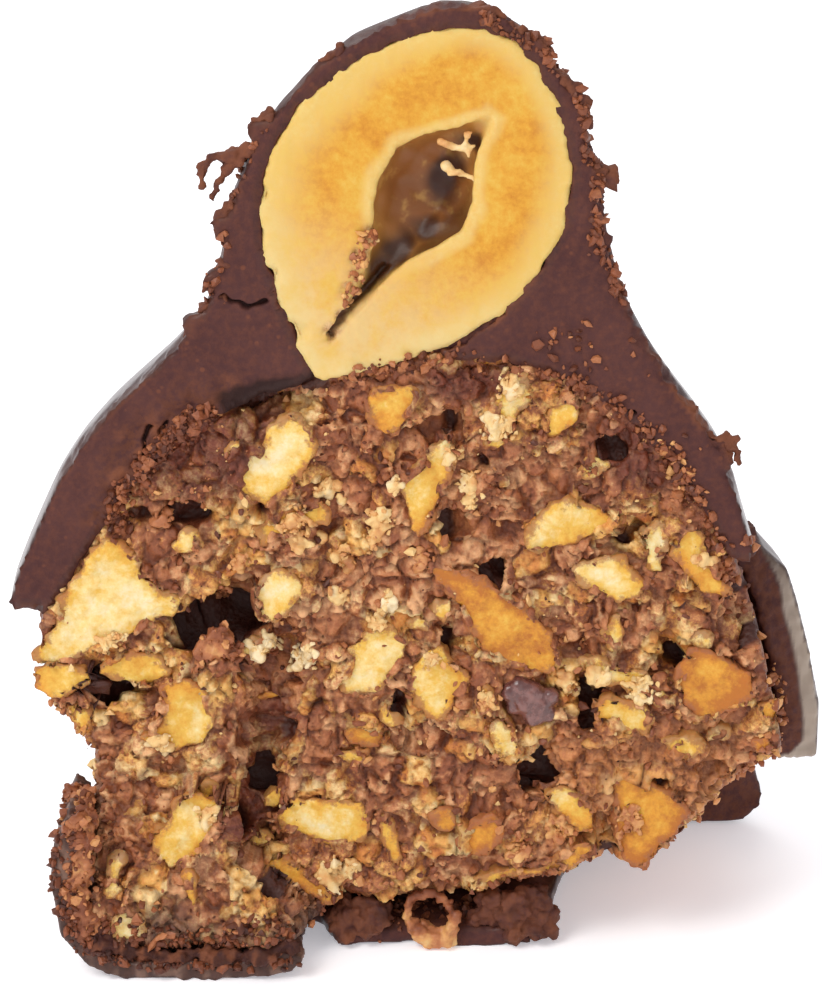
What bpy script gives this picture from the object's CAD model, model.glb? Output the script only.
import math
import random

import bpy
import numpy as np
from mathutils import Matrix, Vector, noise
from mathutils.bvhtree import BVHTree
from mathutils.kdtree import KDTree


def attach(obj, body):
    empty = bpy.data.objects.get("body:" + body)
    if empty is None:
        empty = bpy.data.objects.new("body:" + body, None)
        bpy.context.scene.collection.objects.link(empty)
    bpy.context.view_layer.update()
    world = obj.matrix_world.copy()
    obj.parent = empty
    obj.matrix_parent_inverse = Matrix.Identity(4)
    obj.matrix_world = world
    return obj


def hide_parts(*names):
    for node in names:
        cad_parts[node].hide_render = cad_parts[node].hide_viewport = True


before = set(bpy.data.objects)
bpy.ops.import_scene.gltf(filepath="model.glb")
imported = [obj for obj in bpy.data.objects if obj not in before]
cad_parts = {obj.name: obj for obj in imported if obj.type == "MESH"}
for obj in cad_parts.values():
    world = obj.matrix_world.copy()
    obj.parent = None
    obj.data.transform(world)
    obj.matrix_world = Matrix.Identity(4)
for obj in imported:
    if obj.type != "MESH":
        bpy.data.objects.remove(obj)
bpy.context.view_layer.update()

# The praline stands on a white table and is seen from a little above, with its cut face to the camera.
# Lengths are millimetres on the cut face: x to the right, y back from the cut, z up from the table.
# Soft light comes from above and from the left, and the white room fills the shadows.
MM = 0.001
FACE_CENTRE = Vector((-0.35, -6.0, 0.0))    # where the cut face's own zero stands in the part's frame
AIM = Vector((0.0, 0.0, 19.6))
CAMERA_DISTANCE = 132.0
CAMERA_RISE = math.radians(20.0)
LENS = 125.0
SENSOR = 36.0
PHOTO_WIDTH = 822
PHOTO_HEIGHT = 987
FOCAL_PIXELS = LENS / SENSOR * PHOTO_HEIGHT

ahead = Vector((0.0, math.cos(CAMERA_RISE), -math.sin(CAMERA_RISE)))
overhead = Vector((0.0, math.sin(CAMERA_RISE), math.cos(CAMERA_RISE)))
eye = AIM - ahead * CAMERA_DISTANCE


def sight(px, py):
    """The direction in which the camera sees a point of the photo."""
    sideways = Vector(((px - PHOTO_WIDTH / 2) / FOCAL_PIXELS, 0.0, 0.0))
    return ahead + sideways - overhead * ((py - PHOTO_HEIGHT / 2) / FOCAL_PIXELS)


camera_data = bpy.data.cameras.new("camera")
camera_data.lens = LENS
camera_data.sensor_width = SENSOR
camera = bpy.data.objects.new("camera", camera_data)
camera.location = (eye + FACE_CENTRE) * MM
camera.rotation_euler = (math.radians(90.0) - CAMERA_RISE, 0.0, 0.0)
bpy.context.scene.collection.objects.link(camera)
bpy.context.scene.camera = camera

bpy.ops.object.select_all(action="DESELECT")
bpy.ops.mesh.primitive_plane_add(size=4.0)
table = bpy.context.object
table.name = "table"
white = bpy.data.materials.new("white_table")
white.use_nodes = True
for socket, value in (
    ("Base Color", (0.93, 0.925, 0.925, 1.0)), ("Roughness", 0.9),
    ("Emission Color", (0.93, 0.93, 1.0, 1.0)), ("Emission Strength", 0.33),
):
    white.node_tree.nodes["Principled BSDF"].inputs[socket].default_value = value
table.data.materials.append(white)

# Each light: name, place in metres, size in metres, watts
LIGHTS = (
    ("window", (-0.15, -0.15, 0.24), 0.14, 0.50),
    ("front_fill", (0.06, -0.32, 0.14), 0.20, 0.10),
    ("back_light", (-0.04, 0.22, 0.22), 0.20, 0.30),
)
LIT_POINT = Vector((0.0, -0.004, 0.018))
for name, place, size, watts in LIGHTS:
    light_data = bpy.data.lights.new(name, "AREA")
    light_data.size = size
    light_data.energy = watts
    light_data.color = (1.0, 0.985, 0.955)
    light = bpy.data.objects.new(name, light_data)
    light.location = place
    light.rotation_euler = (LIT_POINT - light.location).to_track_quat("-Z", "Y").to_euler()
    bpy.context.scene.collection.objects.link(light)
room = bpy.data.worlds.new("room")
room.use_nodes = True
room.node_tree.nodes["Background"].inputs["Color"].default_value = (0.975, 0.965, 1.0, 1.0)
room.node_tree.nodes["Background"].inputs["Strength"].default_value = 0.70
bpy.context.scene.world = room
bpy.context.scene.view_settings.view_transform = "Standard"

# The coating is one shell of dark chocolate, poured over the filling. It is smooth and glossy outside.
# The knife leaves its rim matt and a little purple, with fine crumbs, and it is grainy where it broke.


def hold(piece):
    """Selects one piece and nothing else."""
    bpy.ops.object.select_all(action="DESELECT")
    bpy.context.view_layer.objects.active = piece
    piece.select_set(True)


def worked(piece, kind, **settings):
    """Adds one modifier to a piece and applies it."""
    hold(piece)
    modifier = piece.modifiers.new("work", kind)
    for key, value in settings.items():
        setattr(modifier, key, value)
    bpy.ops.object.modifier_apply(modifier=modifier.name)


def solid_copy(node, name):
    """A copy of a solid's mesh in millimetres on the face, with its triangles merged."""
    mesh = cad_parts[node].data.copy()
    mesh.materials.clear()
    mesh.transform(Matrix.Translation(-FACE_CENTRE) @ Matrix.Scale(1.0 / MM, 4))
    piece = bpy.data.objects.new(name, mesh)
    bpy.context.scene.collection.objects.link(piece)
    hold(piece)
    bpy.ops.object.mode_set(mode="EDIT")
    bpy.ops.mesh.select_all(action="SELECT")
    bpy.ops.mesh.remove_doubles(threshold=0.001)
    bpy.ops.object.mode_set(mode="OBJECT")
    return piece


def remeshed(piece, grain, rounds):
    """Turns a piece into an even fine mesh and softens its corners."""
    worked(piece, "REMESH", mode="VOXEL", voxel_size=grain)
    if rounds:
        worked(piece, "SMOOTH", factor=0.5, iterations=rounds)


def points(piece):
    """The piece's points, one row each."""
    flat = np.empty(len(piece.data.vertices) * 3)
    piece.data.vertices.foreach_get("co", flat)
    return flat.reshape(-1, 3)


def facings(piece):
    """The directions that the points face, one row each."""
    flat = np.empty(len(piece.data.vertices) * 3)
    piece.data.vertex_normals.foreach_get("vector", flat)
    return flat.reshape(-1, 3)


def place_points(piece, rows):
    """Moves the piece's points to new places."""
    piece.data.vertices.foreach_set("co", np.ascontiguousarray(rows).ravel())
    piece.data.update()


def waves(rows, size, seed=0.0):
    """Soft unevenness from about -1 to 1, with waves of that size."""
    return np.array([noise.noise(row) for row in (rows / size + seed).tolist()])


def grains(rows, size, seed=0.0):
    """0 in the middle of a grain of that size and about 1 in the gap beside it."""
    return np.array([noise.voronoi(row)[0][0] for row in (rows / size + seed).tolist()])


def fade(values, start, end):
    """0 up to start and 1 from end on, with a soft change between them."""
    share = np.clip((values - start) / (end - start), 0.0, 1.0)
    return share * share * (3.0 - 2.0 * share)


def paint(piece, **layers):
    """Stores numbers for each point, which a material reads by their names."""
    for name, values in layers.items():
        values = np.clip(np.broadcast_to(values, len(piece.data.vertices)), 0.0, 1.0)
        layer = piece.data.attributes.new(name, "FLOAT", "POINT")
        layer.data.foreach_set("value", values.astype(np.float32))


class Tone:
    """A socket of a material. Operators add Math nodes to it, and add() makes any other node."""

    def __init__(self, tree, socket):
        self.tree = tree
        self.socket = socket

    def add(self, kind, settings=None, inputs=None, output=0):
        node = self.tree.nodes.new(kind)
        for key, value in (settings or {}).items():
            if key == "stops":
                ramp = node.color_ramp
                ramp.elements[0].position = value[0][0]
                ramp.elements[0].color = (*value[0][1], 1.0)
                ramp.elements[1].position = value[-1][0]
                ramp.elements[1].color = (*value[-1][1], 1.0)
                for stop, colour in value[1:-1]:
                    ramp.elements.new(stop).color = (*colour, 1.0)
            else:
                setattr(node, key, value)
        for key, value in (inputs or {}).items():
            if isinstance(value, Tone):
                self.tree.links.new(value.socket, node.inputs[key])
            elif isinstance(value, tuple) and len(value) == 3 and node.inputs[key].type == "RGBA":
                node.inputs[key].default_value = (*value, 1.0)
            else:
                node.inputs[key].default_value = value
        return Tone(self.tree, node.outputs[output])

    def _sum(self, kind, first, second):
        return self.add("ShaderNodeMath", {"operation": kind}, {0: first, 1: second})

    def __add__(self, other):
        return self._sum("ADD", self, other)

    def __radd__(self, other):
        return self._sum("ADD", other, self)

    def __sub__(self, other):
        return self._sum("SUBTRACT", self, other)

    def __rsub__(self, other):
        return self._sum("SUBTRACT", other, self)

    def __mul__(self, other):
        return self._sum("MULTIPLY", self, other)

    def __rmul__(self, other):
        return self._sum("MULTIPLY", other, self)

    def between(self, low, high):
        """0 where the value is below low and 1 above high."""
        return self.add("ShaderNodeMapRange", {"interpolation_type": "SMOOTHSTEP"},
                        {"Value": self, "From Min": low, "From Max": high})

    def blend(self, first, second):
        """One colour turning into another as this value goes from 0 to 1."""
        return self.add("ShaderNodeMix", {"data_type": "RGBA"}, {0: self, 6: first, 7: second}, 2)

    def layer(self, name):
        """A number that the mesh holds at each point."""
        return self.add("ShaderNodeAttribute", {"attribute_name": name}, None, "Fac")

    def spots(self, size, detail=3.0, roughness=0.6):
        """Soft noise of that size in millimetres."""
        return self.add("ShaderNodeTexNoise", None,
                        {"Vector": self, "Scale": 1.0 / size, "Detail": detail, "Roughness": roughness})

    def cells(self, size, output="Distance"):
        """Grains of that size in millimetres."""
        return self.add("ShaderNodeTexVoronoi", None, {"Vector": self, "Scale": 1.0 / size}, output)

    def bumps(self, height, strength, deep):
        """A bumpy surface of that depth in millimetres."""
        return self.add("ShaderNodeBump", None,
                        {"Height": height, "Strength": strength, "Distance": deep * MM})


def new_material(name):
    """A material, its shader and the place on the piece in millimetres."""
    material = bpy.data.materials.new(name)
    material.use_nodes = True
    shader = material.node_tree.nodes["Principled BSDF"]
    start = Tone(material.node_tree, None)
    place = start.add("ShaderNodeTexCoord", output="Object")
    place = start.add("ShaderNodeMapping", None, {"Vector": place, "Scale": (1.0 / MM, 1.0 / MM, 1.0 / MM)})
    return material, shader, place


def dress(shader, **sockets):
    """Sets or links a shader's sockets, named with _ for a space."""
    for key, value in sockets.items():
        socket = shader.inputs[key.replace("_", " ").title().replace("Ior", "IOR")]
        if isinstance(value, Tone):
            value.tree.links.new(value.socket, socket)
        elif isinstance(value, tuple) and socket.type == "RGBA":
            socket.default_value = (*value, 1.0)
        else:
            socket.default_value = value


def serve(piece, material, slot, *stands_for):
    """Puts a finished piece in its place: back to metres, smooth, dressed, and carried by the praline."""
    piece.data.transform(Matrix.Scale(MM, 4) @ Matrix.Translation(FACE_CENTRE))
    piece.data.materials.clear()
    piece.data.materials.append(material)
    hold(piece)
    bpy.ops.object.shade_smooth()
    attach(piece, "root")
    if stands_for:
        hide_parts(*stands_for)


CHOCOLATE_OUTSIDE = (0.040, 0.014, 0.010)
CHOCOLATE_CUT = (0.080, 0.028, 0.025)
CHOCOLATE_CUT_DARK = (0.063, 0.021, 0.020)
CHOCOLATE_CRUMB = (0.180, 0.058, 0.028)
CHOCOLATE_BROKEN = (0.110, 0.036, 0.020)
SHAVED = (0.210, 0.070, 0.032)
COATING_MIDDLE = Vector((0.0, 4.0, 14.0))   # a point well inside, for telling the outside from the inside
COATING_GRAIN = 0.22
CHOCOLATE_LAYERS = ("cut", "broken", "cleft", "shaved", "dome", "bloom")    # what its material reads
# From how far behind the cut the coating is smoothed, in millimetres, and how much
SMOOTHED_BEHIND = ((1.5, 0.4), (2.5, 0.7), (3.5, 1.0))
# Cracks in the rim, and the part of its inner border that crumbled, all in the photo
CRACKS = (
    ((222, 297), (231, 302), (241, 303), (249, 307), (259, 304), (268, 301)),
    ((614, 418), (624, 415), (634, 413)),
    ((150, 428), (143, 440), (146, 452), (138, 466)),
    ((166, 424), (160, 432), (163, 444)),
)
CRUMBLED_BORDER = ((112, 520), (124, 485), (146, 450), (178, 422), (215, 404))
DARK_GAP = ((226, 400), (260, 389), (298, 385), (338, 376))     # where the coating stands off the paste

chocolate, shader, place = new_material("chocolate")
cut = place.layer("cut")
broken = place.layer("broken")
fine = place.spots(0.35, 5.0, 0.7)
broad = place.spots(3.0)
crumbs_seen = place.cells(0.45).between(0.30, 0.12) * place.spots(1.6).between(0.48, 0.66)
rim_colour = broad.between(0.35, 0.65).blend(CHOCOLATE_CUT_DARK, CHOCOLATE_CUT)
rim_colour = (fine.between(0.35, 0.75) * 0.35).blend(rim_colour, CHOCOLATE_CRUMB)
rim_colour = (crumbs_seen * 0.6).blend(rim_colour, CHOCOLATE_CRUMB)
rim_colour = (broken * fine.between(0.35, 0.65)).blend(rim_colour, CHOCOLATE_BROKEN)
rim_colour = (place.layer("shaved") * (0.45 + fine * 0.6)).blend(rim_colour, SHAVED)
rim_colour = (place.layer("cleft") * 0.9).blend(rim_colour, (0.018, 0.006, 0.005))
matt = 1.0 - (1.0 - cut) * (1.0 - broken)
outside_colour = place.layer("bloom").blend(CHOCOLATE_OUTSIDE, (0.34, 0.27, 0.21))
grain_height = fine * 0.6 + place.cells(0.3) * 0.4
dress(
    shader,
    base_color=matt.blend(outside_colour, rim_colour),
    roughness=matt * 0.30 + 0.28 + fine * 0.12,
    normal=place.bumps(grain_height * matt + place.spots(1.2, 2.0) * (1.0 - matt) * 0.5, 0.7, 0.12),
    specular_ior_level=0.18,
    coat_weight=(1.0 - matt) * (0.40 - place.layer("dome") * 0.25),
    coat_roughness=0.18,
)


def from_line(rows, line):
    """How far each point is from a broken line of points, measured on the face."""
    nearest = np.full(len(rows), 99.0)
    for start, end in zip(line, line[1:]):
        run = end - start
        share = (rows[:, 0] - start.x) * run.x + (rows[:, 2] - start.z) * run.z
        share = np.clip(share / (run.x ** 2 + run.z ** 2), 0.0, 1.0)
        apart = np.hypot(rows[:, 0] - start.x - share * run.x, rows[:, 2] - start.z - share * run.z)
        nearest = np.minimum(nearest, apart)
    return nearest


def on_level(px, py, level):
    """The point of the photo on the upright plane that lies level millimetres behind the cut."""
    direction = sight(px, py)
    return eye + direction * ((level - eye.y) / direction.y)

def traced(line, level=0.0):
    """A line of the photo, point by point, on such a plane."""
    return [on_level(px, py, level) for px, py in line]


def facing_out(rows, facing):
    """1 where a surface faces away from the middle of the praline or from its upright axis."""
    outward = rows - np.array(COATING_MIDDLE)
    outward[:, 1] = np.maximum(outward[:, 1], 0.0)
    sideways = outward * np.array((1.0, 1.0, 0.0))
    from_middle = (facing * outward).sum(axis=1) / np.maximum(np.linalg.norm(outward, axis=1), 0.1)
    from_axis = (facing * sideways).sum(axis=1) / np.maximum(np.linalg.norm(sideways, axis=1), 0.1)
    return np.maximum(from_middle, from_axis)


def paint_chocolate(piece, **layers):
    """Paints a piece of chocolate; what isn't named is left plain."""
    paint(piece, **{name: layers.get(name, 0.0) for name in CHOCOLATE_LAYERS})

coating = solid_copy("coating", "coating_shell")
remeshed(coating, COATING_GRAIN, 5)
behind = coating.vertex_groups.new(name="behind")
for level, weight in SMOOTHED_BEHIND:
    behind.add(np.flatnonzero(points(coating)[:, 1] > level).tolist(), weight, "REPLACE")
worked(coating, "SMOOTH", factor=0.5, iterations=60, vertex_group="behind")
coating.vertex_groups.clear()
cracks = [traced(line) for line in CRACKS]
middles = np.array([tuple(face.center) for face in coating.data.polygons])
near_crack = (np.min([from_line(middles, crack) for crack in cracks], axis=0) < 0.35) & (middles[:, 1] < 0.8)
coating.data.polygons.foreach_set("select", near_crack)
hold(coating)
bpy.ops.object.mode_set(mode="EDIT")
bpy.ops.mesh.select_mode(type="FACE")
bpy.ops.mesh.subdivide(number_cuts=3)
bpy.ops.object.mode_set(mode="OBJECT")
rows = points(coating)
facing = facings(coating)
out = facing_out(rows, facing)
toward_camera = -facing[:, 1]
outside = fade(out, 0.35, 0.7) * (1.0 - fade(toward_camera, 0.45, 0.75))
on_cut = fade(toward_camera, 0.55, 0.85) * (1.0 - fade(rows[:, 1], 1.6, 3.2))
on_break = (1.0 - outside) * (1.0 - on_cut)
ripple = waves(rows, 3.5) * 0.05 * outside + waves(rows, 0.5, 3.0) * 0.035 * on_cut
ripple += (0.45 - grains(rows, 0.7, 5.0)) * 0.28 * on_break * fade(rows[:, 2], -0.5, 0.6)
ripple += 0.30 * on_break * (1.0 - fade(rows[:, 1], 2.0, 4.0)) * fade(rows[:, 2], 8.0, 10.0)
wiggle = rows + 0.12 * np.stack([waves(rows, 0.4, 2.0), rows[:, 1] * 0.0, waves(rows, 0.4, 6.0)], axis=1)
cleft = 1.0 - fade(np.min([from_line(wiggle, crack) for crack in cracks], axis=0), 0.02, 0.11)
cleft *= on_cut
ripple -= cleft * 0.3
from_border = from_line(rows, traced(CRUMBLED_BORDER)) + waves(rows, 1.2, 7.0) * 0.5
crumbled = (1.0 - fade(from_border, 0.6, 1.5)) * on_cut
ripple += crumbled * ((0.45 - grains(rows, 0.7, 2.0)) * 0.35 + waves(rows, 0.5, 6.0) * 0.12)
shaved = (1.0 - fade(rows[:, 1], 0.7, 1.5)) * fade(rows[:, 2], 19.0, 21.0)
shaved *= fade(out, 0.15, 0.6) * (0.35 + 0.65 * fade(rows[:, 0], -3.0, 0.0))
ripple += shaved * ((0.45 - grains(rows, 0.55, 3.0)) * 0.5 + waves(rows, 1.6, 4.0) * 0.25)
place_points(coating, rows + facing * ripple[:, None])
gap = 1.0 - fade(from_line(wiggle, traced(DARK_GAP)), 0.25, 0.50)
paint_chocolate(
    coating,
    cut=np.maximum(on_cut, shaved),
    broken=np.maximum(on_break, crumbled),
    cleft=np.maximum(cleft, gap),
    dome=fade(rows[:, 2], 27.0, 31.0),
    shaved=np.maximum(shaved * fade(waves(rows, 1.6, 4.0), -0.25, 0.15),
                      crumbled * fade(waves(rows, 0.8, 9.0), 0.0, 0.4)),
)
serve(coating, chocolate, "coating", "coating")

# The hazelnut is roasted and was cut with the praline. Its flesh is golden, mottled orange inside and paler
# at the skin and round the hollow. The hollow between its halves is lined with a brown, glossy skin.
NUT_TIP = (-3.5, 24.3)
NUT_LEAN = math.radians(23.9)
NUT_EDGES = (
    (0.0, -0.15, 0.25), (0.9, -1.2, 1.35), (2.1, -2.45, 2.8), (3.6, -3.7, 4.25), (5.5, -4.8, 5.4),
    (7.2, -5.05, 5.9), (9.3, -4.8, 6.0), (11.3, -3.9, 5.35), (13.1, -2.45, 3.95), (14.2, -1.0, 2.6),
    (14.75, 0.4, 1.4),
)
NUT_NOTCHES = ((260, 194), (270, 275), (300, 333))      # where its edge is nicked, in the photo
RAGGED_EDGE = ((370, 232), (362, 250), (357, 268), (350, 290), (341, 312), (331, 332))
SLIT = ((384, 270), (372, 284), (356, 302), (343, 318), (330, 335))
DARK_IN_HOLLOW = (
    (440, 194, 1.3), (450, 174, 0.8), (380, 272, 1.3), (400, 254, 1.1), (424, 236, 0.9), (468, 142, 0.6),
)
HOLLOW_START = (-3.2, 25.7)
HOLLOW_LEAN = math.radians(35.6)
HOLLOW_EDGES = (
    (0.0, -0.12, 0.14), (1.4, -0.2, 0.3), (2.8, -0.4, 0.45), (4.2, -0.9, 0.75), (5.2, -1.75, 1.25),
    (6.4, -2.3, 1.8), (7.7, -2.35, 1.5), (8.8, -1.8, 0.7), (9.8, -0.9, 0.3), (10.7, -0.15, 0.1),
)
NUT_GRAIN = 0.12


def leaning(rows, start, lean, edges):
    """How far along a leaning shape each point is, and how far inside its edge on the face."""
    x = rows[:, 0] - start[0]
    z = rows[:, 2] - start[1]
    along = x * math.sin(lean) + z * math.cos(lean)
    across = x * math.cos(lean) - z * math.sin(lean)
    table_of_edges = np.array(edges)
    left = np.interp(along, table_of_edges[:, 0], table_of_edges[:, 1])
    right = np.interp(along, table_of_edges[:, 0], table_of_edges[:, 2])
    inside = np.minimum(np.minimum(across - left, right - across), np.minimum(along, edges[-1][0] - along))
    return along, across, inside


hazelnut = solid_copy("hazelnut", "hazelnut_cut")
remeshed(hazelnut, NUT_GRAIN, 3)
rows = points(hazelnut)
facing = facings(hazelnut)
along, across, from_skin = leaning(rows, NUT_TIP, NUT_LEAN, NUT_EDGES)
hollow_along, hollow_across, in_hollow = leaning(rows, HOLLOW_START, HOLLOW_LEAN, HOLLOW_EDGES)
hollow_depth = fade(rows[:, 1], 0.12, 0.45) * fade(in_hollow, -0.35, 0.05) * fade(from_skin, 0.5, 1.2)
flat_cut = fade(-facing[:, 1], 0.6, 0.9) * (1.0 - hollow_depth)
fibre = waves(rows * np.array((1.0, 1.0, 0.5)), 0.35, 2.0) * 0.02 + waves(rows, 1.6, 7.0) * 0.05
ridges = waves(rows * np.array((1.0, 0.6, 1.0)), 0.8, 9.0) * 0.12 * hollow_depth
edge_side = (1.0 - fade(-facing[:, 1], 0.2, 0.7)) * (1.0 - hollow_depth)
swell = edge_side * (0.14 + waves(rows, 1.4, 5.0) * 0.12 + waves(rows, 0.5, 2.0) * 0.05)
for px, py in NUT_NOTCHES:
    swell -= (1.0 - fade(from_line(rows, traced(((px, py), (px - 6, py - 3)))), 0.1, 0.5)) * 0.2
ragged = 1.0 - fade(from_line(rows, traced(RAGGED_EDGE)) + waves(rows, 0.7, 4.0) * 0.35, 0.08, 0.50)
ragged *= fade(waves(rows, 0.45, 8.0), -0.25, 0.15) * fade(-facing[:, 1], 0.0, 0.3)
slit = 1.0 - fade(from_line(rows, traced(SLIT)) + waves(rows, 0.4, 6.0) * 0.06, 0.05, 0.16)
slit *= fade(-facing[:, 1], 0.0, 0.3)
ragged_relief = ragged * (waves(rows, 0.5, 2.0) * 0.15 - 0.08) - slit * 0.35
place_points(hazelnut, rows + facing * (fibre * flat_cut + ridges + swell + ragged_relief)[:, None])
pale_reach = 1.5 + 0.7 * fade(-across, 0.0, 3.0)
shade = fade(hollow_across + waves(rows, 1.2, 3.0) * 0.5, 0.4, 1.3)
shade *= (1.0 - fade(hollow_along, 7.0, 8.4)) * 0.8
for px, py, reach in DARK_IN_HOLLOW:
    middle = on_level(px, py, 0.4)
    apart = np.hypot(rows[:, 0] - middle.x, rows[:, 2] - middle.z) + waves(rows, 0.9, px * 0.1) * 0.55
    shade = np.maximum(shade, 1.0 - fade(apart, reach * 0.2, reach))
paint(
    hazelnut,
    hollow=hollow_depth,
    skin_side=1.0 - fade(from_skin + waves(rows, 1.8, 3.0) * 0.5, 0.1, pale_reach),
    lip=(1.0 - fade(-in_hollow + waves(rows, 1.3, 8.0) * 0.3, 0.08, 0.55)) * fade(along, 3.5, 7.0),
    low_side=1.0 - fade(along, 2.0, 7.5),
    depth=fade(rows[:, 1], 0.2, 1.6),
    shade=np.maximum(shade, 1.0 - fade(hollow_along, 2.8, 4.4)),
    ragged=ragged,
    slit=slit,
)

nut_flesh, shader, place = new_material("hazelnut_flesh")
hollow = place.layer("hollow")
mottle = place.spots(1.5, 6.0, 0.66)
fine = place.spots(0.3, 5.0, 0.7)
skin_side = place.layer("skin_side")
lip = place.layer("lip")
flesh = mottle.add("ShaderNodeValToRGB", {"stops": (
    (0.34, (0.66, 0.42, 0.078)), (0.44, (0.65, 0.36, 0.044)), (0.52, (0.63, 0.300, 0.026)),
    (0.64, (0.52, 0.195, 0.013)))}, {"Fac": mottle * 0.66 + fine * 0.34})
flesh = (skin_side * (mottle * 1.3 + fine * 1.2 - 0.46)).blend(flesh, (0.68, 0.49, 0.155))
flesh = (lip * (fine * 1.5)).blend(flesh, (0.69, 0.49, 0.16))
flesh = (place.layer("low_side") * mottle.between(0.25, 0.6) * 0.75).blend(flesh, (0.68, 0.52, 0.235))
ragged_colour = fine.between(0.40, 0.62).blend((0.20, 0.065, 0.030), (0.58, 0.36, 0.20))
flesh = (place.layer("ragged") * 0.7).blend(flesh, ragged_colour)
flesh = (place.layer("slit") * 0.95).blend(flesh, (0.085, 0.022, 0.008))
lining = place.layer("depth").blend((0.46, 0.210, 0.045), (0.27, 0.100, 0.028))
lining = place.spots(0.9).between(0.5, 0.7).blend(lining, (0.48, 0.25, 0.065))
lining = (place.layer("shade") * 0.95).blend(lining, (0.035, 0.008, 0.003))
dress(
    shader,
    base_color=hollow.blend(flesh, lining),
    roughness=0.55 - hollow * 0.18,
    specular_ior_level=0.3,
    normal=place.bumps(fine * 0.7 + place.cells(0.5) * 0.3, 0.35, 0.06),
    subsurface_weight=0.12,
    subsurface_scale=0.0006,
)
serve(hazelnut, nut_flesh, "hazelnut", "hazelnut")

# The filling is one body of nut paste. Its plain form comes first, because the chopped nuts are set into it
# before the paste between them gets its grain.
PASTE_GRAIN = 0.135

paste = solid_copy("filling", "nut_paste")
remeshed(paste, PASTE_GRAIN, 10)


def open_side(rows):
    """1 on the low left side, where the coating has broken away from the paste."""
    return (1.0 - fade(rows[:, 0], -9.5, -8.5)) * (1.0 - fade(rows[:, 2], 12.5, 14.0))


# What the coating hides is kept coarse.
hidden = (points(paste)[:, 1] > 3.6) & (open_side(points(paste)) < 0.1)
behind = paste.vertex_groups.new(name="behind")
behind.add(np.flatnonzero(hidden).tolist(), 1.0, "REPLACE")
worked(paste, "DECIMATE", ratio=1.0 - 0.85 * hidden.mean(), vertex_group="behind", vertex_group_factor=1.0)
rows = points(paste)
paste_form = BVHTree.FromPolygons(rows.tolist(), [tuple(face.vertices) for face in paste.data.polygons])


def on_face(px, py):
    """Where the camera's sight through a point of the photo meets the filling, or the cut plane beside it."""
    hit = paste_form.ray_cast(eye, sight(px, py))[0]
    if hit is None or hit.y > 4.0:
        return on_level(px, py, 0.0)
    return hit


# Chopped roasted hazelnuts lie in the paste. The knife went through most of them, so they show flat faces
# with broken edges: pale cream to golden, and orange to brown where they roasted longest.
CHIP_GRAIN = 0.13
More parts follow.
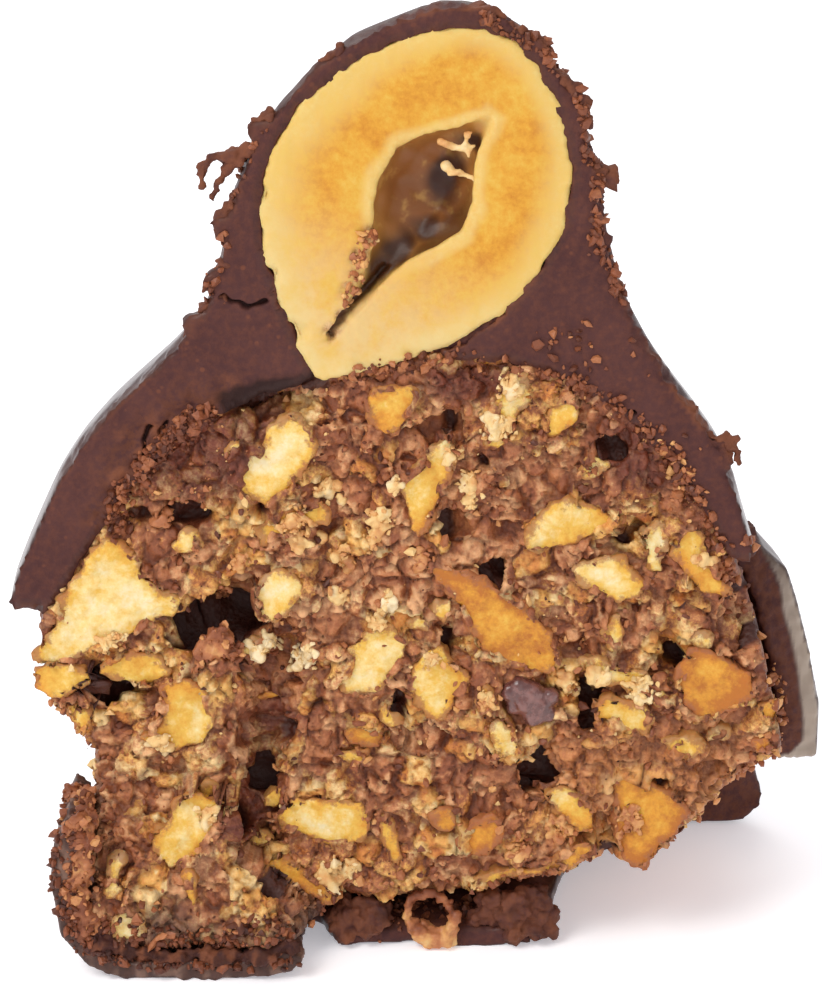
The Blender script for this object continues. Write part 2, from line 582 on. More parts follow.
# Each nut: tone at its upper left and at its lower right (0 pale, 1 roasted), roughness, outline in the photo
CHIPS = (
    (0.15, 0.3, 0.3, ((232, 478), (241, 465), (257, 451), (270, 425), (290, 412), (313, 430), (316, 446),
     (308, 467), (295, 484), (284, 497), (268, 508), (249, 500))),
    (0.1, 0.15, 0.2, ((221, 451), (230, 441), (244, 439), (241, 451), (228, 460))),
    (0.1, 0.2, 0.2, ((171, 548), (185, 529), (196, 534), (202, 548), (193, 556), (177, 556))),
    (0.05, 0.15, 0.2, ((253, 599), (257, 583), (273, 569), (292, 572), (305, 583), (305, 596), (289, 609),
     (273, 625), (257, 617))),
    (0.35, 0.45, 0.8, ((249, 534), (257, 526), (276, 518), (295, 508), (319, 502), (329, 513), (327, 524),
     (308, 526), (289, 537), (273, 540), (265, 548), (257, 537))),
    (0.25, 0.2, 0.5, ((92, 548), (102, 537), (115, 537), (126, 548), (139, 559), (147, 577), (161, 591),
     (174, 596), (188, 601), (177, 618), (161, 623), (145, 628), (129, 639), (107, 647), (88, 655), (70, 666),
     (48, 668), (32, 660), (38, 647), (54, 623), (64, 591), (78, 569))),
    (0.4, 0.35, 0.8, ((98, 674), (109, 658), (128, 653), (147, 653), (163, 661), (169, 674), (161, 685),
     (142, 688), (120, 685), (109, 677))),
    (0.3, 0.4, 0.6, ((29, 674), (46, 664), (68, 664), (90, 669), (93, 677), (79, 688), (65, 696), (49, 699),
     (35, 691))),
    (0.35, 0.5, 0.6, ((64, 699), (74, 702), (90, 710), (93, 721), (84, 737), (76, 734), (68, 718))),
    (0.55, 0.25, 0.3, ((161, 688), (174, 677), (191, 680), (207, 693), (215, 713), (215, 729), (202, 748),
     (177, 751), (153, 748), (135, 737), (153, 734), (163, 718), (163, 702))),
    (0.5, 0.55, 0.3, ((253, 699), (267, 691), (281, 691), (281, 699), (267, 704))),
    (0.1, 0.1, 0.4, ((240, 650), (251, 639), (267, 642), (272, 650), (262, 664), (248, 664))),
    (0.12, 0.2, 0.3, ((341, 680), (351, 650), (365, 631), (387, 625), (409, 642), (403, 664), (390, 680),
     (376, 693), (357, 699), (343, 691))),
    (0.1, 0.15, 0.3, ((376, 707), (387, 702), (392, 715), (403, 723), (395, 729), (379, 723))),
    (0.75, 0.8, 0.3, ((338, 723), (362, 721), (381, 729), (392, 740), (376, 748), (351, 745))),
    (0.4, 0.45, 0.3, ((327, 751), (349, 748), (370, 753), (373, 764), (360, 770), (341, 762))),
    (0.5, 0.1, 0.6, ((147, 835), (163, 827), (177, 800), (191, 792), (207, 797), (232, 805), (240, 802),
     (223, 824), (210, 843), (191, 860), (172, 868), (161, 860), (153, 849))),
    (0.05, 0.15, 0.3, ((109, 860), (120, 854), (125, 865), (120, 881), (128, 890), (117, 900), (101, 895),
     (106, 879))),
    (0.75, 0.7, 0.4, ((62, 880), (74, 873), (88, 878), (90, 895), (80, 908), (66, 904))),
    (0.1, 0.2, 0.4, ((109, 925), (118, 912), (134, 911), (146, 920), (147, 936), (134, 946), (116, 943))),
    (0.1, 0.2, 0.2, ((202, 790), (208, 781), (215, 786), (212, 796), (204, 797))),
    (0.3, 0.35, 0.2, ((183, 870), (193, 870), (196, 892), (199, 906), (191, 911), (185, 892))),
    (0.2, 0.35, 0.25, ((275, 819), (289, 802), (308, 797), (341, 800), (365, 800), (373, 822), (370, 838),
     (354, 843), (327, 846), (302, 838), (281, 830))),
    (0.15, 0.2, 0.3, ((263, 800), (272, 789), (286, 786), (286, 797), (275, 811), (264, 808))),
    (0.15, 0.2, 0.3, ((245, 838), (259, 832), (275, 838), (264, 849), (251, 846))),
    (0.5, 0.55, 0.4, ((264, 862), (281, 854), (300, 865), (316, 879), (343, 898), (332, 903), (313, 898),
     (294, 887), (275, 873))),
    (0.4, 0.5, 0.2, ((379, 813), (387, 816), (398, 835), (403, 857), (400, 868), (390, 862), (381, 838))),
    (0.45, 0.55, 0.3, ((366, 395), (380, 388), (411, 384), (422, 393), (417, 407), (405, 424), (394, 437),
     (376, 432), (367, 412))),
    (0.4, 0.4, 0.3, ((473, 362), (481, 353), (501, 350), (501, 359), (493, 365), (484, 367))),
    (0.12, 0.2, 0.9, ((487, 449), (484, 438), (493, 421), (496, 393), (507, 376), (521, 373), (529, 387),
     (535, 401), (524, 412), (512, 427), (507, 446), (498, 452))),
    (0.45, 0.5, 0.3, ((541, 429), (546, 410), (560, 398), (575, 398), (583, 412), (575, 427), (560, 435),
     (549, 441))),
    (0.15, 0.55, 0.3, ((397, 483), (417, 466), (431, 446), (448, 435), (456, 446), (453, 477), (442, 500),
     (431, 522), (417, 539), (411, 531), (403, 503))),
    (0.12, 0.15, 0.3, ((580, 472), (586, 458), (600, 455), (611, 463), (603, 472), (591, 480), (583, 480))),
    (0.15, 0.5, 0.3, ((521, 551), (527, 534), (538, 517), (549, 503), (572, 500), (594, 505), (611, 514),
     (628, 520), (611, 531), (589, 539), (566, 548), (544, 553))),
    (0.05, 0.12, 0.4, ((642, 534), (656, 522), (670, 528), (670, 545), (662, 562), (665, 576), (651, 576),
     (642, 559))),
    (0.45, 0.55, 0.3, ((673, 539), (684, 522), (699, 528), (707, 545), (718, 573), (730, 593), (718, 601),
     (699, 593), (682, 570), (670, 553))),
    (0.15, 0.4, 0.4, ((569, 573), (577, 562), (600, 556), (622, 559), (634, 573), (653, 584), (639, 596),
     (622, 604), (603, 599), (583, 587))),
    (0.85, 0.7, 0.3, ((422, 565), (439, 562), (462, 570), (487, 582), (507, 593), (529, 607), (544, 624),
     (558, 646), (563, 666), (549, 677), (527, 677), (501, 666), (481, 649), (467, 627), (459, 607),
     (442, 584))),
    (0.05, 0.1, 0.3, ((428, 614), (436, 602), (453, 599), (453, 611), (445, 622), (434, 619))),
    (0.1, 0.15, 0.3, ((405, 625), (417, 616), (431, 622), (428, 633), (414, 633))),
    (0.3, 0.45, 0.3, ((403, 687), (411, 670), (422, 650), (439, 645), (453, 659), (473, 676), (465, 692),
     (450, 712), (439, 723), (422, 712), (411, 695))),
    (0.45, 0.4, 0.8, ((476, 692), (486, 687), (496, 695), (494, 710), (482, 715), (475, 705))),
    (0.45, 0.4, 0.8, ((560, 678), (568, 673), (577, 678), (574, 688), (563, 690))),
    (0.1, 0.2, 0.3, ((487, 729), (498, 718), (512, 729), (524, 743), (521, 760), (510, 766), (496, 749))),
    (0.2, 0.15, 0.4, ((580, 661), (600, 659), (620, 667), (642, 673), (662, 687), (673, 701), (662, 707),
     (642, 695), (622, 687), (600, 684), (583, 676))),
    (0.3, 0.25, 0.4, ((594, 709), (603, 698), (622, 701), (648, 704), (656, 718), (645, 735), (628, 738),
     (611, 726), (597, 721))),
    (0.8, 0.9, 0.4, ((679, 661), (696, 650), (718, 653), (735, 664), (755, 673), (758, 692), (738, 707),
     (718, 721), (699, 723), (684, 707), (676, 687))),
    (0.2, 0.25, 0.3, ((662, 740), (684, 738), (704, 743), (707, 755), (687, 763), (670, 757))),
    (0.05, 0.1, 0.2, ((707, 738), (718, 729), (730, 729), (727, 738), (715, 740))),
    (0.05, 0.15, 0.3, ((684, 642), (701, 630), (713, 639), (710, 647), (693, 647))),
    (0.15, 0.2, 0.3, ((603, 633), (611, 616), (620, 611), (625, 628), (620, 650), (611, 656))),
    (0.5, 0.5, 0.4, ((431, 814), (442, 805), (453, 814), (456, 828), (445, 833), (436, 822))),
    (0.4, 0.45, 0.4, ((546, 794), (563, 783), (586, 797), (597, 814), (594, 831), (580, 833), (563, 819),
     (549, 808))),
    (0.75, 0.85, 0.5, ((611, 769), (628, 774), (651, 785), (679, 797), (690, 811), (679, 833), (659, 850),
     (645, 867), (625, 862), (614, 842), (614, 808))),
    (0.8, 0.8, 0.5, ((456, 845), (473, 822), (498, 814), (507, 831), (493, 850), (470, 859))),
    (0.45, 0.55, 0.4, ((462, 890), (484, 876), (512, 867), (538, 870), (560, 859), (575, 842), (594, 839),
     (597, 853), (577, 867), (549, 876), (515, 876), (493, 887), (467, 893))),
    (0.6, 0.6, 0.4, ((758, 707), (775, 698), (780, 712), (772, 726), (758, 718))),
    (0.55, 0.6, 0.4, ((749, 740), (772, 735), (775, 752), (755, 757))),
)
draw = random.Random(31)
seats = []


def chopped_nut(number, first_tone, last_tone, rough, outline):
    """One piece of nut that fills an outline of the photo and is sunk into the paste."""
    spots = [on_face(px, py) for px, py in outline]
    middle_px = sum(px for px, py in outline) / len(outline)
    middle_py = sum(py for px, py in outline) / len(outline)
    fronts = sorted([spot.y for spot in spots] + [on_face(middle_px, middle_py).y])
    level = fronts[len(fronts) // 2] - 0.10
    on_plane = traced(outline, level)
    seats.append((on_plane, level))
    bpy.ops.object.select_all(action="DESELECT")
    bpy.ops.mesh.primitive_circle_add(vertices=len(outline), radius=1.0, fill_type="NGON")
    nut = bpy.context.object
    for point, place_on_plane in zip(nut.data.vertices, on_plane):
        point.co = place_on_plane
    size = max((a - b).length for a in on_plane for b in on_plane)
    bpy.ops.object.mode_set(mode="EDIT")
    bpy.ops.mesh.select_all(action="SELECT")
    thick = min(0.55 + size * 0.16, 1.3)
    bpy.ops.mesh.extrude_region_move(TRANSFORM_OT_translate={"value": (0.0, thick, 0.0)})
    bpy.ops.transform.resize(value=(0.8, 1.0, 0.8))
    bpy.ops.mesh.select_all(action="SELECT")
    bpy.ops.mesh.normals_make_consistent(inside=False)
    bpy.ops.object.mode_set(mode="OBJECT")
    remeshed(nut, CHIP_GRAIN, 2)
    rows = points(nut)
    facing = facings(nut)
    seed = number * 3.7
    wobble = waves(rows, 1.1, seed) * 0.26 + waves(rows, 0.45, seed) * 0.20 + waves(rows, 0.22, seed) * 0.08
    wobble *= 0.75 + rough
    edge = 1.0 - fade(-facing[:, 1], 0.5, 0.95)
    relief = waves(rows, 1.3, seed + 5.0) * 0.16 + waves(rows, 0.4, seed) * 0.07 * (0.4 + rough)
    relief += (0.4 - grains(rows, 1.1, seed)) * 0.16 + (0.4 - grains(rows, 0.45, seed)) * 0.24 * rough
    shift = wobble * edge + relief * (1.0 - edge)
    tilt_x = draw.uniform(-0.07, 0.07)
    tilt_z = draw.uniform(-0.07, 0.07)
    moved = rows + facing * shift[:, None]
    middle = rows.mean(axis=0)
    moved[:, 1] += (rows[:, 0] - middle[0]) * tilt_x + (rows[:, 2] - middle[2]) * tilt_z
    place_points(nut, moved)
    slope = (rows[:, 0] - middle[0]) - (rows[:, 2] - middle[2])
    share = 0.5 + 0.5 * slope / max(np.abs(slope).max(), 0.01)
    rim = 1.0 - fade(from_line(rows, on_plane + on_plane[:1]), 0.05, 0.75)
    paint(nut, tone=first_tone + (last_tone - first_tone) * share, side=edge, rim=rim)
    return nut


def joined(pieces, name):
    """Several pieces made one."""
    bpy.ops.object.select_all(action="DESELECT")
    for piece in pieces:
        piece.select_set(True)
    bpy.context.view_layer.objects.active = pieces[0]
    bpy.ops.object.join()
    pieces[0].name = name
    return pieces[0]


chopped = joined([chopped_nut(number, *chip) for number, chip in enumerate(CHIPS)], "chopped_nuts")

chopped_flesh, shader, place = new_material("chopped_nut_flesh")
tone = place.layer("tone")
side = place.layer("side")
mottle = place.spots(0.7, 5.0, 0.68)
fine = place.spots(0.22, 4.0, 0.7)
broad = place.spots(2.0)
rim = place.layer("rim")
value = tone + (mottle - 0.5) * 1.1 + (fine - 0.5) * 0.5 + (broad - 0.5) * 1.0 + rim * 0.22
flesh = value.add("ShaderNodeValToRGB", {"stops": (
    (0.00, (0.80, 0.67, 0.40)), (0.22, (0.78, 0.58, 0.23)), (0.45, (0.72, 0.43, 0.070)),
    (0.72, (0.64, 0.285, 0.030)), (1.00, (0.44, 0.145, 0.020)))}, {"Fac": value})
stain = (rim * 0.75 + side * 0.35 + place.spots(0.45, 6.0, 0.7) * 2.0 - 1.45).between(0.10, 0.45)
flesh = (stain * 0.75).blend(flesh, (0.32, 0.115, 0.050))
dress(
    shader,
    base_color=flesh,
    roughness=0.60 - fine * 0.25,
    normal=place.bumps(fine * 0.6 + place.cells(0.35) * 0.4, 0.7, 0.10),
    specular_ior_level=0.3,
    subsurface_weight=0.15,
    subsurface_scale=0.0005,
)
serve(chopped, chopped_flesh, "filling")

# The paste is ground roasted nuts and chocolate. The knife tore it more than it cut it, so it is a mosaic of
# grains with pits between them: purple-brown chocolate, tan nut meal, and here and there a cream splinter.
# Holes where a nut or a lump fell out: left, top, right and bottom in the photo, depth
HOLES = (
    (168, 596, 262, 648, 1.3), (62, 678, 130, 706, 1.0), (124, 508, 150, 526, 0.6), (168, 502, 216, 524, 0.7),
    (253, 507, 268, 519, 0.7), (404, 425, 419, 438, 0.6), (443, 412, 457, 430, 0.6),
    (474, 455, 488, 470, 0.7), (442, 512, 456, 534, 0.6), (480, 560, 506, 580, 0.7),
    (442, 628, 456, 650, 0.8), (606, 442, 622, 456, 0.7), (614, 526, 630, 541, 0.7),
    (668, 646, 684, 664, 0.8), (736, 588, 752, 604, 0.9), (743, 624, 755, 640, 0.9),
    (580, 682, 606, 694, 0.9), (580, 690, 592, 726, 0.9), (528, 754, 548, 784, 0.9),
    (600, 840, 620, 860, 0.8), (244, 655, 256, 684, 0.5), (392, 690, 408, 734, 0.8),
    (236, 806, 256, 828, 1.0), (262, 864, 300, 884, 0.8), (300, 702, 330, 712, 0.5),
    (652, 778, 668, 790, 0.7), (608, 520, 640, 530, 0.4), (660, 590, 700, 600, 0.4),
    (268, 716, 286, 742, 0.7), (258, 752, 274, 784, 0.8), (228, 384, 296, 402, 0.8),
    (286, 376, 336, 388, 0.6), (596, 440, 626, 458, 0.7),
)
# Parts of the face with a tone of their own: middle in the photo, half width and half height
WARM_ZONE = (640, 810, 150, 110)
DUSKY_ZONES = (
    (190, 440, 130, 90), (215, 430, 90, 60), (645, 450, 60, 60), (465, 385, 60, 25), (276, 722, 26, 44),
    (262, 770, 26, 44), (246, 812, 28, 40),
)
PALE_ZONES = ((390, 590, 190, 130, 1.0), (190, 780, 140, 140, 0.9))     # and how pale
LOW_CORNER_TOP = 2.6
CORNER_SIDE = -12.7


def grain_cells(rows, size, seed=0.0):
    """A tone from 0 to 1 for the grain that each point belongs to, and how far it is from the grain's edge."""
    tones = np.empty(len(rows))
    gaps = np.empty(len(rows))
    for number, row in enumerate((rows / size + seed).tolist()):
        near, middles = noise.voronoi(row)
        middle = middles[0]
        tones[number] = (math.sin(middle.x * 12.99 + middle.y * 78.23 + middle.z * 37.72) * 437.58) % 1.0
        gaps[number] = near[1] - near[0]
    return tones, gaps


def within(rows, outline):
    """Which points lie inside an outline on the face."""
    inside = np.zeros(len(rows), bool)
    before = outline[-1]
    for corner in outline:
        crossing = (corner.z > rows[:, 2]) != (before.z > rows[:, 2])
        rise = corner.z - before.z
        share = (rows[:, 2] - before.z) / (rise if rise else 1.0)
        inside ^= crossing & (rows[:, 0] < before.x + share * (corner.x - before.x))
        before = corner
    return inside


def oval_reach(rows, middle, corner):
    """0 in the middle of an oval part of the face and 1 at its edge. The corner is of the box round it."""
    wide = corner.x - middle.x
    tall = corner.z - middle.z
    return np.hypot((rows[:, 0] - middle.x) / wide, (rows[:, 2] - middle.z) / tall)

def zone(rows, px, py, wide, tall):
    """1 in the middle of an oval part of the face, and 0 outside it."""
    middle = on_face(px, py)
    return 1.0 - fade(oval_reach(rows, middle, on_level(px + wide, py - tall, middle.y)), 0.4, 1.1)


rows = points(paste)
facing = facings(paste)
in_front = 1.0 - fade(rows[:, 1], 3.0, 3.8)
forward = fade(-facing[:, 1], 0.0, 0.5) * in_front
forward = np.maximum(forward, fade(-facing[:, 0], 0.0, 0.5) * open_side(rows))
warped = rows + np.stack([waves(rows, 0.8, seed) * 0.35 for seed in (1.0, 11.0, 21.0)], axis=1)
block_tone, block_gap = grain_cells(warped, 1.15, 1.0)
grit_tone, grit_gap = grain_cells(warped, 0.50, 4.0)
crevice = np.maximum(1.0 - fade(block_gap, 0.0, 0.22), 0.55 * (1.0 - fade(grit_gap, 0.0, 0.22)))
height = (block_tone - 0.5) * 0.34 + (grit_tone - 0.5) * 0.22 - crevice * 0.34
height += waves(rows, 0.22, 8.0) * 0.05 + waves(rows, 2.6, 6.0) * 0.22
hole = np.zeros(len(rows))
for left, top, right, bottom, deep in HOLES:
    middle = on_face((left + right) / 2, (top + bottom) / 2)
    reach = oval_reach(rows, middle, on_level(right, top, middle.y))
    reach *= 1.0 + 0.55 * waves(rows, 0.7, left * 0.1)
    hole = np.maximum(hole, (1.0 - fade(reach, 0.65, 1.15)) * deep)
height -= hole * 0.9
gap_kept = zone(rows, 285, 388, 62, 16)
toward_wall = (1.0 - fade(-facing[:, 1], 0.1, 0.6)) * in_front * (1.0 - gap_kept) * (1.0 - forward)
in_corner = (1.0 - fade(rows[:, 0], -4.5, -3.5)) * (1.0 - fade(rows[:, 2], 6.5, 8.0))
swell = 0.30 + (grit_tone - 0.5) * 0.2 + in_corner * 0.20
moved = rows + facing * (height * forward + swell * toward_wall)[:, None]
for outline, level in seats:
    covered = np.flatnonzero(within(moved, outline) & (in_front > 0.5))
    to_edge = from_line(moved[covered], outline + outline[:1])
    smeared = (1.0 - fade(to_edge, 0.10, 0.55)) * fade(waves(moved[covered], 0.8, level * 9.0), -0.05, 0.20)
    sunk = np.maximum(moved[covered, 1], level + 0.30)
    moved[covered, 1] = sunk + (level - 0.16 - sunk) * smeared
place_points(paste, moved)
corner_low = (1.0 - fade(rows[:, 2] + waves(rows, 1.5, 3.0), LOW_CORNER_TOP - 1.0, LOW_CORNER_TOP + 0.8))
corner_low *= 1.0 - fade(rows[:, 0], -4.0, -3.0)
corner_left = (1.0 - fade(rows[:, 0] + waves(rows, 1.2, 5.0) * 0.6, CORNER_SIDE - 0.6, CORNER_SIDE + 0.7))
corner_left *= 1.0 - fade(rows[:, 2], 7.5, 9.5)
dusky = toward_wall * 0.8
for dusky_zone in DUSKY_ZONES:
    dusky = np.maximum(dusky, zone(rows, *dusky_zone))
paint(
    paste,
    block_tone=block_tone,
    grit_tone=grit_tone,
    crevice=crevice,
    hole=hole * 1.2,
    warm=zone(rows, *WARM_ZONE),
    dusky=dusky,
    pale=np.max([zone(rows, *oval) * pale for *oval, pale in PALE_ZONES], axis=0),
    chocolaty=np.maximum(corner_low, corner_left),
)

nut_paste, shader, place = new_material("nut_paste")
fine = place.spots(0.22, 5.0, 0.7)
patches = place.spots(2.4, 3.0)
grit = place.layer("grit_tone")
value = grit * 0.65 + fine * 0.75 + patches * 0.3 + place.layer("pale") * 0.12 - 0.30
brown = value.add("ShaderNodeValToRGB", {"stops": (
    (0.08, (0.140, 0.034, 0.012)), (0.40, (0.30, 0.090, 0.032)), (0.66, (0.50, 0.190, 0.072)),
    (0.92, (0.74, 0.39, 0.18)))}, {"Fac": value})
meal = value.add("ShaderNodeValToRGB", {"stops": (
    (0.10, (0.40, 0.105, 0.022)), (0.38, (0.62, 0.235, 0.048)), (0.66, (0.76, 0.41, 0.105)),
    (0.92, (0.86, 0.61, 0.28)))}, {"Fac": value})
meal_share = (place.layer("block_tone") * 0.8 + (patches - 0.5) * 0.9 + (fine - 0.5) * 0.8).between(0.48, 0.74)
body = meal_share.blend(brown, meal)
body = (place.layer("warm") * 0.60 * fine.between(0.25, 0.6)).blend(body, (0.62, 0.25, 0.075))
body = (place.layer("dusky") * 0.95 * (1.40 - fine)).blend(body, (0.150, 0.030, 0.013))
splinter = place.cells(0.38, output="Color").add("ShaderNodeSeparateColor", output="Green").between(0.90, 0.93)
body = (splinter * (1.0 - place.layer("dusky"))).blend(body, (0.80, 0.58, 0.27))
body = (place.layer("crevice") * (1.05 - fine * 0.9)).blend(body, (0.085, 0.017, 0.006))
streaks = place.add("ShaderNodeMapping", None, {"Vector": place, "Scale": (1.0, 1.0, 0.22)}).spots(0.45, 3.0)
soot = streaks.between(0.35, 0.7).blend((0.050, 0.026, 0.020), (0.24, 0.12, 0.065))
body = (place.layer("chocolaty") * 0.85).blend(body, soot)
body = place.layer("hole").between(0.20, 0.80).blend(body, (0.060, 0.014, 0.007))
dress(
    shader,
    base_color=body,
    roughness=0.62 - fine * 0.36,
    normal=place.bumps(fine * 0.6 + place.cells(0.2) * 0.4, 0.8, 0.12),
    specular_ior_level=0.4,
    subsurface_weight=0.05,
    subsurface_scale=0.0004,
)
serve(paste, nut_paste, "filling", "filling")

# The wall piece at the right is cracked loose and leans on its own; its outer edge is rounded and glossy. The
# lower left corner keeps a skin of coating under it, dull and sooty. Both are grainy where they broke.
FALLEN_GRAIN = 0.14
WALL_ROUNDING = 1.1     # how far its glossy outer edge comes round to the front, in millimetres
UPRIGHT = np.array((1.0, 1.0, 0.25))    # draws waves out into upright streaks


def fallen(node, name):
    """A piece of coating that broke off, grainy at its breaks: the piece, its points and its outer side."""
    piece = solid_copy(node, name)
    remeshed(piece, FALLEN_GRAIN, 3)
    rows = points(piece)
    facing = facings(piece)
    outside = fade(facing_out(rows, facing), 0.4, 0.75)
    ripple = (0.80 - grains(rows, 0.5, 2.0)) * 0.28 * (1.0 - outside) + waves(rows, 2.0) * 0.04 * outside
    return piece, rows + facing * ripple[:, None], outside


wall, rows, outside = fallen("wall_shard", "loose_wall")
heights = np.round(rows[:, 2] / 0.4).astype(int)
outer_edge = np.full(heights.max() + 1, rows[:, 0].min())
np.maximum.at(outer_edge, heights, rows[:, 0])
outer_edge = np.convolve(np.pad(outer_edge, 2, mode="edge"), np.full(5, 0.2), mode="valid")
from_edge = np.interp(rows[:, 2] / 0.4, np.arange(len(outer_edge)), outer_edge) - rows[:, 0]
from_edge += waves(rows, 1.5, 3.0) * 0.15
rounding = (1.0 - fade(from_edge, 0.0, WALL_ROUNDING)) * (1.0 - fade(rows[:, 1], 1.0, 2.5))
rows[:, 1] += rounding * 0.7
place_points(wall, rows)
low_part = 1.0 - fade(rows[:, 2], 13.0, 17.0)
strip = 1.0 - fade(from_edge / (0.35 + 0.50 * low_part), 0.7, 1.0)
glossy = np.maximum(outside, strip)
paint_chocolate(wall, broken=1.0 - glossy, dome=1.0 - low_part,
                bloom=(glossy - outside) * (0.10 + 0.85 * low_part + waves(rows, 1.5, 3.0) * 0.3))
serve(wall, chocolate, "coating", "wall_shard")

skin, rows, outside = fallen("corner_coating", "corner_skin")
place_points(skin, rows)
streaks = fade(waves(rows * UPRIGHT, 0.5, 3.0), 0.10, 0.35) * (1.0 - fade(rows[:, 1], 1.0, 2.0))
paint_chocolate(skin, broken=0.4, cut=0.5, bloom=0.25 + streaks * 0.6, shaved=streaks * 0.6,
                cleft=(0.45 + waves(rows, 0.9, 4.0) * 0.4) * (1.0 - streaks * 0.8))
serve(skin, chocolate, "coating", "corner_coating")

# Crumbs of paste, nut and chocolate cling to the cut and to its edges. They are the size of fine salt and
# angular, and each has a tone of its own, from dark chocolate through brown and pink to cream.
FRONT_DEPTH = 3.4       # how far behind the cut the front still reaches, in millimetres
CRUMB_SIZES = (0.08, 0.40)
CRUMB_COUNT = 2300
CRUMB_TONES = (0.10, 0.20, 0.30, 0.38, 0.45, 0.50, 0.55, 0.60, 0.66, 0.82)
# Strips and spots where more of them lie: course in the photo, spread in pixels, how many, tone from and to
CRUMB_STRIPS = (
    (((116, 524), (128, 488), (152, 452), (184, 426), (212, 412)), 12, 320, 0.1, 0.46),
    (((480, 366), (560, 374), (600, 395), (640, 420), (672, 452), (700, 500), (728, 560), (742, 610)), 8, 210,
     0.12, 0.5),
    (((650, 430), (680, 470), (690, 500)), 16, 120, 0.1, 0.75),
    (((760, 640), (782, 700), (770, 750), (735, 790), (690, 830)), 8, 120, 0.3, 0.7),
    (((88, 792), (80, 826), (76, 852), (76, 888), (84, 922), (107, 943), (147, 947), (187, 946), (241, 948),
     (296, 936)), 7, 420, 0.05, 0.45),
    (((60, 800), (56, 860), (58, 920)), 8, 90, 0.08, 0.4),
    (((110, 930), (200, 940), (290, 925)), 12, 160, 0.04, 0.55),
    (((66, 900), (78, 940), (112, 958), (200, 964), (298, 956)), 8, 320, 0.02, 0.34),
    (((370, 232), (362, 250), (357, 268), (350, 290), (341, 312)), 6, 80, 0.36, 0.8),
    (((262, 130), (240, 175), (225, 220), (215, 270), (205, 310)), 5, 60, 0.14, 0.4),
    (((480, 16), (545, 48), (580, 100), (596, 180), (600, 250), (622, 300)), 6, 260, 0.14, 0.42),
    (((350, 375), (400, 366), (470, 352)), 8, 90, 0.1, 0.6),
    (((745, 545), (765, 540), (790, 560)), 6, 50, 0.25, 0.62),
    (((330, 905), (400, 915), (470, 905), (550, 900)), 16, 200, 0.1, 0.45),
    (((540, 335), (620, 360)), 26, 30, 0.1, 0.62),
)


def ball_shape(subdivisions, radius):
    """A ball of triangles, as its points and its faces."""
    bpy.ops.object.select_all(action="DESELECT")
    bpy.ops.mesh.primitive_ico_sphere_add(subdivisions=subdivisions, radius=radius)
    ball = bpy.context.object
    rows = points(ball)
    faces = np.array([tuple(face.vertices) for face in ball.data.polygons])
    bpy.data.objects.remove(ball)
    return rows, faces

def crumb_shape(seed):
    """One angular crumb about 1 across, as its points and its faces."""
    rows, faces = ball_shape(1, 0.5)
    return rows * np.random.RandomState(seed).uniform(0.55, 1.25, (len(rows), 1)), faces

def from_parts(name, all_rows, all_faces):
    """One piece of the points and faces of many small ones."""
    mesh = bpy.data.meshes.new(name)
    mesh.from_pydata(np.concatenate(all_rows).tolist(), [], np.concatenate(all_faces).tolist())
    piece = bpy.data.objects.new(name, mesh)
    bpy.context.scene.collection.objects.link(piece)
    return piece


crumb_shapes = [crumb_shape(seed) for seed in range(6)]


def scattered(name, places, seed):
    """Many crumbs in one mesh. Each place gives its middle, its size and its tone."""
    draw = random.Random(seed)
    all_rows = []
    all_faces = []
    all_tones = []
    count = 0
    for middle, size, tone in places:
        rows, faces = draw.choice(crumb_shapes)
        angle = draw.uniform(0.0, 6.28)
        turn = Matrix.Rotation(angle, 3, Vector((draw.uniform(-1, 1), draw.uniform(-1, 1), 1.0)))
        stretch = np.array((draw.uniform(0.6, 1.7), draw.uniform(0.6, 1.0), draw.uniform(0.6, 1.5)))
        all_rows.append((rows * stretch) @ np.array(turn).T * size + np.array(middle))
        all_faces.append(faces + count)
        all_tones.append(np.full(len(rows), tone))
        count += len(rows)
    piece = from_parts(name, all_rows, all_faces)
    paint(piece, tone=np.concatenate(all_tones))
    return piece


def form_of(*pieces):
    """One form of several finished pieces, in millimetres on the face, for finding what the camera sees."""
    all_rows = []
    all_faces = []
    for piece in pieces:
        step = len(all_rows)
        all_faces += [tuple(corner + step for corner in face.vertices) for face in piece.data.polygons]
        all_rows += (points(piece) / MM - np.array(FACE_CENTRE)).tolist()
    return BVHTree.FromPolygons(all_rows, all_faces)


draw = random.Random(47)
dressed_form = form_of(coating, hazelnut, paste, chopped, wall, skin)


def seen(px, py):
    """The point of the praline that is seen at a point of the photo, and the way it faces, or nothing."""
    hit, facing_there = dressed_form.ray_cast(eye, sight(px, py))[:2]
    return (hit, facing_there) if hit is not None and hit.y < FRONT_DEPTH else (None, None)


